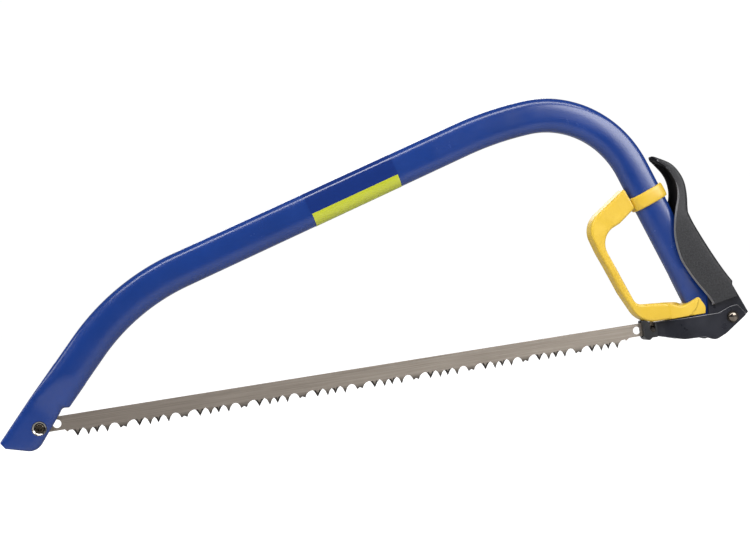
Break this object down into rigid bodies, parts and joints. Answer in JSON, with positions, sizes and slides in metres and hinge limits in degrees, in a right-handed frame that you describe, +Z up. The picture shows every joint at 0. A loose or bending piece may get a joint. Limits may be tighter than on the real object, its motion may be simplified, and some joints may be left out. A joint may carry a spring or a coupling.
{
  "type": "bow saw",
  "caption": "Bow saw with a bent oval-tube frame, a raker-tooth blade, a knuckle guard and an over-centre tension lever with a quick-release hook link.",
  "frame": {"origin": "centre of the overall length and thickness, at the lowest point of the nose and the tension link", "axes": "+X from the nose to the handle along the blade, +Z up through the frame with the teeth facing down, +Y through the saw's thickness, away from the bolt head"},
  "size_m": [0.6525, 0.0266, 0.2337],
  "materials": {
    "frame_paint": "gloss",
    "plated_steel": "satin",
    "rivet_steel": "polished",
    "guard_plastic": "satin",
    "label_film": "gloss",
    "blade_steel": "satin",
    "black_coat": "satin",
    "lever_plastic": "textured"
  },
  "bodies": {
    "frame": {"frame_tube": "frame_paint", "front_bolt": "plated_steel", "bolt_washer_near": "plated_steel", "bolt_washer_far": "plated_steel", "front_nut": "plated_steel", "pivot_sleeve": "plated_steel", "hand_guard": "guard_plastic", "frame_label": "label_film"},
    "lever": {"lever_core": "black_coat", "lever_grip": "lever_plastic", "lever_pivot_pin": "plated_steel"},
    "link": {"tension_link": "black_coat", "link_nose_clip": "black_coat", "link_rivet": "rivet_steel", "rivet_washer_near": "black_coat", "rivet_washer_far": "black_coat"},
    "blade": {"saw_blade": "blade_steel", "blade_pin": "plated_steel", "pin_collar_near": "plated_steel", "pin_collar_far": "plated_steel"}
  },
  "joints": [
    {"name": "lever_pivot", "type": "hinge", "parent": "frame", "child": "lever", "pos_m": [0.2889, 0, 0.01445], "axis": [0, 1, 0], "range_deg": [0, 120]},
    {"name": "link_pivot", "type": "hinge", "parent": "lever", "child": "link", "pos_m": [0.3094, 0, 0.01805], "axis": [0, 1, 0], "range_deg": [-135, 0]},
    {"name": "blade_pivot", "type": "hinge", "parent": "frame", "child": "blade", "pos_m": [-0.2951, 0, 0.01705], "axis": [0, 1, 0], "range_deg": [0, 2]}
  ],
  "couplings": [
    {"joint": "link_pivot", "follows": "lever_pivot", "ratio": -1.12},
    {"joint": "blade_pivot", "follows": "lever_pivot", "ratio": 0.015}
  ]
}
